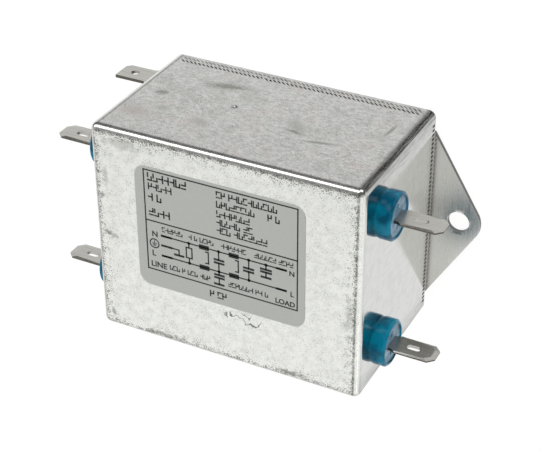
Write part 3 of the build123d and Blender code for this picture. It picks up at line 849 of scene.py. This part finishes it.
# circuit: lines from one point to another, thin and thick
thinLines = [
    (-16.2, 2.7, 16.0, 2.7), (-16.2, -2.85, 16.0, -2.85), (-14.0, 0.0, -11.7, 0.0), (-11.7, 0.0, -11.7, -1.5),
    (-9.0, 2.7, -9.0, 1.4), (-9.0, -1.4, -9.0, -2.85), (-9.75, 1.4, -8.25, 1.4), (-9.75, -1.4, -8.25, -1.4),
    (-9.75, 1.4, -9.75, -1.4), (-8.25, 1.4, -8.25, -1.4), (-1.18, 2.7, -1.18, 0.35), (-1.18, -0.5, -1.18, -3.8),
    (-1.18, -4.6, -1.18, -6.4), (6.6, 2.7, 6.6, 0.35), (6.6, -0.5, 6.6, -2.85), (11.0, 2.7, 11.0, 1.4),
    (11.0, 0.65, 11.0, -0.75), (-4.6, 1.6, -3.9, 1.6), (-4.6, -1.5, -3.9, -1.5), (-3.9, 1.6, -3.9, -1.5),
    (3.2, 1.6, 3.9, 1.6), (3.2, -1.5, 3.9, -1.5), (3.9, 1.6, 3.9, -1.5),
]
thickLines = [
    (-16.2, 2.7, -13.8, 2.7), (-16.2, -2.85, -13.8, -2.85), (-16.2, 0.0, -13.8, 0.0), (13.8, 2.7, 16.0, 2.7),
    (13.8, -2.85, 16.0, -2.85), (-12.8, -1.5, -10.6, -1.5), (-2.2, 0.35, 0.0, 0.35), (-2.2, -0.5, 0.0, -0.5),
    (-2.2, -3.8, 0.0, -3.8), (-2.2, -4.6, 0.0, -4.6), (-2.3, -6.4, -0.1, -6.4), (5.4, 0.35, 7.7, 0.35),
    (5.4, -0.5, 7.7, -0.5), (9.8, 1.4, 12.2, 1.4), (9.8, 0.65, 12.2, 0.65), (9.9, -0.75, 12.1, -0.75),
]
coils = [(-6.3, 2.7), (-6.3, -2.85), (1.45, 2.7), (1.45, -2.85)]
dots = [(-9.0, 2.7), (-9.0, -2.85), (-1.18, 2.7), (-1.18, -2.85), (6.6, 2.7), (6.6, -2.85), (11.0, 2.7)]


def buildPrint():
    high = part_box("rating_label")[1]
    bottom = high.z - label["ink"] * mm
    bm = bmesh.new()

    # a stroke runs from one point to another and has square ends
    def addStroke(x0, y0, x1, y1, width):
        half = width / 2
        addBox(bm, ((min(x0, x1) - half) * mm, (min(y0, y1) - half) * mm, bottom),
               ((max(x0, x1) + half) * mm, (max(y0, y1) + half) * mm, high.z))

    def addRing(x, y, radius, width):
        centre = Vector((x * mm, y * mm, 0))
        inner, outer = radius - width / 2, radius + width / 2
        corners = [(inner, bottom), (outer, bottom), (outer, high.z), (inner, high.z)]
        verts = [bm.verts.new(centre + Vector((r * mm, 0, z))) for r, z in corners]
        edges = [bm.edges.new((verts[i], verts[(i + 1) % 4])) for i in range(4)]
        bmesh.ops.spin(bm, geom=verts + edges, cent=centre, axis=(0, 0, 1), angle=2 * math.pi,
                       steps=earthSign["ringSteps"], use_merge=True)

    def addWord(word, x, y, height):
        curve = bpy.data.curves.new(word, "FONT")
        curve.body = word
        curve.size = height * mm / ruling["capHeight"]
        curve.offset = ruling["boldness"] * mm
        curve.extrude = label["ink"] * mm / 2
        flat = addObject(word, curve)
        mesh = bpy.data.meshes.new_from_object(flat.evaluated_get(bpy.context.evaluated_depsgraph_get()))
        mesh.transform(Matrix.Translation((x * mm, y * mm, (bottom + high.z) / 2)))
        bm.from_mesh(mesh)
        bpy.data.objects.remove(flat)
        bpy.data.curves.remove(curve)
        bpy.data.meshes.remove(mesh)

    thin, thick = ruling["thin"], ruling["thick"]
    left, under, right, over = ruling["frame"]
    for x0, y0, x1, y1 in (
        (left, under, right, under), (left, over, right, over), (left, under, left, over), (right, under, right, over),
        (left, ruling["divider"], right, ruling["divider"]), *thinLines,
    ):
        addStroke(x0, y0, x1, y1, thin)
    for x0, y0, x1, y1 in thickLines:
        addStroke(x0, y0, x1, y1, thick)
    for x, y in coils:
        addStroke(x + ruling["coilFrom"], y, x + ruling["coilTo"], y, ruling["coilWidth"])
    for x, y in dots:
        bmesh.ops.create_cone(
            bm, cap_ends=True, segments=ruling["dotSegments"], radius1=ruling["dot"] * mm, radius2=ruling["dot"] * mm,
            depth=high.z - bottom, matrix=Matrix.Translation((x * mm, y * mm, (bottom + high.z) / 2)),
        )
    dice = random.Random(ruling["seed"])
    for x, y, end, height in markRows:
        width = ruling["letterWidth"] * height
        while x + width <= end:
            for name in dice.choice(markKinds):
                x0, y0, x1, y1 = strokes[name]
                addStroke(x + x0 * width, y + y0 * height, x + x1 * width, y + y1 * height,
                          ruling["markStroke"] * height)
            widen = ruling["wordGap"] if dice.random() < ruling["wordEnds"] else 1
            x += width + ruling["letterGap"] * height * widen

    x, y = earthSign["place"]
    addRing(x, y, earthSign["radius"], earthSign["ring"])
    addStroke(x, y + earthSign["stemHeight"], x, y, earthSign["stem"])
    for up, half in earthSign["bars"]:
        addStroke(x - half, y + up, x + half, y + up, earthSign["bar"])
    for word in words:
        addWord(*word)
    finishPiece(bm, "label_print", [ink])


buildPrint()
print("label printed")


# the pieces that stay as the frame has them: the lid, and inside it moulded, coated and drawn parts with a fine grain,
# each row with a name, the finish and its nodes
finishKeys = ("light", "dark", "grainSize", "roughness", "metallic")
innerFinishes = [
    ("moulded_polypropylene", "#2E2E2E", "#202020", 1.0, 0.45, 0.0, ["inner_tub"]),
    ("coated_ferrite", "#3C3C40", "#2A2A2D", 0.8, 0.4, 0.0, ["line_choke_core", "load_choke_core"]),
    ("enamelled_copper", "#C0703A", "#8F4A22", 0.5, 0.3, 1.0, [
        f"{end}_choke_{row}_winding" for end in ("line", "load") for row in ("neutral", "phase")
    ]),
    ("moulded_polyester_box", "#CBB352", "#B79B38", 1.2, 0.4, 0.0, [
        f"{end}_{kind}_capacitor" for end in ("line", "load") for kind in "xy"
    ]),
    ("lacquer_coat", "#B89C74", "#97794F", 0.6, 0.25, 0.0, ["discharge_resistor"]),
    ("blue_insulation", "#3A5FA8", "#2C4C8E", 0.8, 0.4, 0.0, ["line_neutral_lead", "load_neutral_lead"]),
    ("brown_insulation", "#6E4A32", "#573823", 0.8, 0.4, 0.0, ["line_phase_lead", "load_phase_lead"]),
    ("tinned_copper_wire", "#CBC9C4", "#A9A7A1", 0.5, 0.35, 1.0, ["neutral_bus", "phase_bus", "earth_lead"]),
]
finishes = [(tin, ["bottom_lid"])]
for name, *values, nodes in innerFinishes:
    finishes.append((makeGrained(name, dict(zip(finishKeys, values))), nodes))
for material, nodes in finishes:
    for node in nodes:
        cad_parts[node].material_slots[0].material = material
print("inner parts finished")


# camera at the photograph's place
view = {
    "place": (136.4, 186.85, 284.33), "right": (0.8911, -0.0038, -0.4537), "up": (-0.2403, 0.8442, -0.4791),
    "lens": 97.43, "sensor": 36, "clipStart": 0.01,
}


def placeCamera():
    data = bpy.data.cameras.new("camera")
    data.lens = view["lens"]
    data.sensor_width = view["sensor"]
    data.clip_start = view["clipStart"]
    camera = addObject("camera", data)
    right, up = Vector(view["right"]), Vector(view["up"])
    turn = Matrix((right, up, right.cross(up))).transposed().to_4x4()
    camera.matrix_world = Matrix.Translation(mm * Vector(view["place"])) @ turn
    bpy.context.scene.camera = camera


placeCamera()


# studio: pale floor, dark behind the part for mirrored rays only, four soft boxes and a room that darkens behind
studio = {
    "floorSize": 3.0, "floorLevel": -0.05, "floor": "#F2F2F0", "floorRoughness": 0.9, "floorGlow": 1.1,
    "cameraWhite": 0.85, "litTo": 0.08, "darkFrom": 0.125, "darkFloor": 0.08, "roomFront": 0.6, "roomBack": 0.14,
    "roomFade": (-0.1, 0.4), "zenithFade": (0.86, 0.94), "zenith": 0.55, "boxDistance": 0.8,
}
# soft boxes: name, direction, size, radiance
softBoxes = [
    ("front box", (0, -0.64, 0.66), (1.7, 0.66), 0.52), ("back box", (-0.42, 0.7, 0.53), (0.9, 0.3), 2.6),
    ("right box", (0.84, -0.5, 0.2), (0.6, 0.4), 0.5), ("far box", (0.3, 0.93, 0.1), (0.4, 0.4), 5.0),
]


def makeFloor():
    bm = bmesh.new()
    level = Matrix.Translation((0, 0, studio["floorLevel"] * mm))
    bmesh.ops.create_grid(bm, x_segments=1, y_segments=1, size=studio["floorSize"], matrix=level)
    mesh = bpy.data.meshes.new("floor")
    bm.to_mesh(mesh)
    bm.free()
    floor = addObject("floor", mesh)
    material, tree, shader, place = startMaterial("pale_floor")
    add = partial(addNode, tree)
    fillInputs(tree, shader, {"Base Color": studio["floor"], "Roughness": studio["floorRoughness"]})
    path = add("LightPath", out=None)
    back = add("SeparateXYZ", [place], 1)
    lit = add("MapRange", [back, studio["litTo"], studio["darkFrom"], 1.0, studio["darkFloor"]], **softStep)
    mirrored = add("Math", [path["Is Glossy Ray"], path["Is Transmission Ray"]], operation="MAXIMUM")
    seen = add("Math", [path["Is Camera Ray"], studio["cameraWhite"]], operation="MULTIPLY")
    strength = add("Mix", {0: mirrored, 2: studio["floorGlow"], 3: lit})
    white = add("Emission", {"Color": "#FFFFFF", "Strength": strength})
    share = add("Math", [seen, mirrored], operation="MAXIMUM")
    mix = add("MixShader", [share, shader.outputs[0], white])
    tree.links.new(mix, tree.nodes["Material Output"].inputs["Surface"])
    mesh.materials.append(material)


def addSoftBox(name, direction, size, radiance):
    data = bpy.data.lights.new(name, "AREA")
    data.shape = "RECTANGLE"
    data.size, data.size_y = size
    data.energy = radiance * math.pi * size[0] * size[1]
    lamp = addObject(name, data)
    place = Vector(direction).normalized() * studio["boxDistance"]
    lamp.location = place
    lamp.rotation_mode = "QUATERNION"
    lamp.rotation_quaternion = (-place).to_track_quat("-Z", "Y")
    lamp.visible_camera = False


def lightRoom():
    world = bpy.data.worlds.new("studio")
    world.use_nodes = True
    tree = world.node_tree
    add = partial(addNode, tree)
    _, back, up = add("SeparateXYZ", [add("TexCoord", out="Generated")], None)
    shade = add("MapRange", [back, *studio["roomFade"], studio["roomFront"], studio["roomBack"]], **softStep)
    zenith = add("MapRange", [up, *studio["zenithFade"], 1.0, studio["zenith"]], **softStep)
    room = tree.nodes["Background"]
    fillInputs(tree, room, {"Color": "#FFFFFF", "Strength": add("Math", [shade, zenith], operation="MULTIPLY")})
    white = add("Background", {"Color": "#FFFFFF", "Strength": 1.0})
    mix = add("MixShader", [add("LightPath", out="Is Camera Ray"), room.outputs[0], white])
    tree.links.new(mix, tree.nodes["World Output"].inputs["Surface"])
    bpy.context.scene.world = world
    for softBox in softBoxes:
        addSoftBox(*softBox)


makeFloor()
lightRoom()
bpy.context.scene.view_settings.view_transform = "Standard"
print("studio lit")
